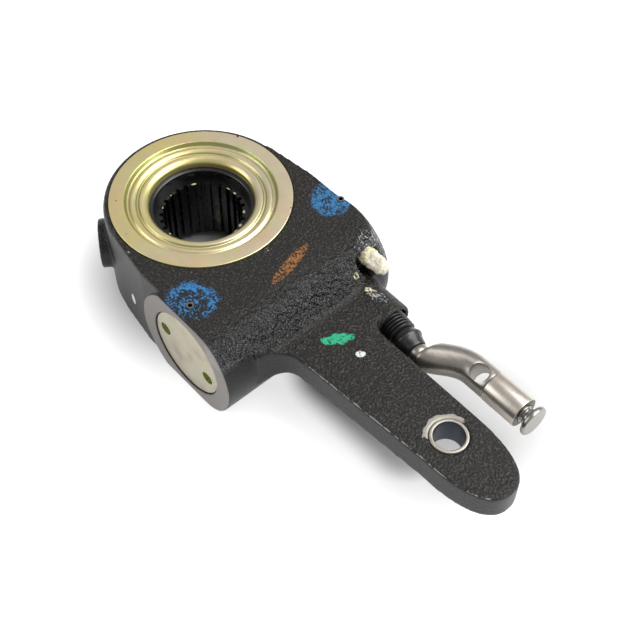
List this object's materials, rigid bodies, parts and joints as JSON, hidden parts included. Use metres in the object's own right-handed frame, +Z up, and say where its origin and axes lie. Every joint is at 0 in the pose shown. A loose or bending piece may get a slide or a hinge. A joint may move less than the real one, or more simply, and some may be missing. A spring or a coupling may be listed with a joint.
{
  "type": "brake slack adjuster",
  "caption": "Cast lever with a splined worm gear in its head, a worm across it, a rack-and-link self-adjuster in a rubber boot and a bushed clevis pin hole in the arm.",
  "frame": {"origin": "centre of the splined bore on the worm's mid-plane", "axes": "+X along the arm towards the clevis pin, +Z up along the splined bore out of the cover plate"},
  "size_m": [0.2282, 0.1012, 0.0483],
  "materials": {
    "black_casting": "satin black paint over sand-cast iron",
    "yellow_zinc": "yellow chromate over zinc on pressed steel",
    "pale_zinc": "pale yellow chromate over zinc, turned",
    "black_oxide_steel": "black oxide with an oil film",
    "plain_steel": "ground",
    "spring_steel": "drawn wire",
    "brushed_link_steel": "brushed",
    "bronze": "sintered",
    "black_rubber": "moulded, satin",
    "cream_coating": "cream masking paint, dabbed on",
    "bush_steel": "turned"
  },
  "bodies": {
    "housing": {"housing": "black_casting", "cover_plate": "yellow_zinc", "cover_seal": "black_rubber", "bottom_seal": "black_rubber", "bearing_ring": "bronze", "worm_bearing": "bronze", "thrust_washer": "plain_steel", "thrust_spring": "spring_steel", "end_cap": "pale_zinc", "cap_oring": "black_rubber", "hex_bush": "bronze", "shaft_oring": "black_rubber", "lock_pins": "plain_steel", "rack_bush": "bronze", "boot": "black_rubber", "grease_fitting": "cream_coating", "arm_bush": "bush_steel"},
    "worm_gear": {"worm_gear": "black_oxide_steel"},
    "worm": {"worm_shaft": "plain_steel", "clutch_spring": "spring_steel"},
    "pinion": {"clutch_pinion": "plain_steel"},
    "rack": {"rack": "plain_steel", "rack_pin": "plain_steel"},
    "link": {"link": "brushed_link_steel", "link_sleeve": "brushed_link_steel", "plunger_spring": "spring_steel"},
    "plunger": {"plunger": "brushed_link_steel"}
  },
  "joints": [
    {"name": "gear_spin", "type": "hinge", "parent": "housing", "child": "worm_gear", "pos_m": [0, 0, 0], "axis": [0, 0, 1], "continuous": true},
    {"name": "worm_spin", "type": "hinge", "parent": "housing", "child": "worm", "pos_m": [0.047, 0, 0], "axis": [0, 1, 0], "continuous": true},
    {"name": "rack_slide", "type": "slide", "parent": "housing", "child": "rack", "axis": [1, 0, 0], "range_m": [-0.002, 0.006], "deforming": ["boot"]},
    {"name": "pinion_spin", "type": "hinge", "parent": "housing", "child": "pinion", "pos_m": [0.047, 0.0275, 0], "axis": [0, 1, 0], "range_deg": [-12.2, 36.3]},
    {"name": "link_swing", "type": "hinge", "parent": "rack", "child": "link", "pos_m": [0.082, 0.0275, 0.003], "axis": [0, 0, 1], "range_deg": [0, 8], "deforming": ["boot"]},
    {"name": "plunger_slide", "type": "slide", "parent": "link", "child": "plunger", "axis": [1, 0, 0], "range_m": [-0.003, 0], "stiffness_N_per_m": 900, "springref_m": 0.002, "deforming": ["plunger_spring"]}
  ],
  "couplings": [
    {"joint": "worm_spin", "follows": "gear_spin", "ratio": -22},
    {"joint": "pinion_spin", "follows": "rack_slide", "rad_per_m": 105.26}
  ]
}
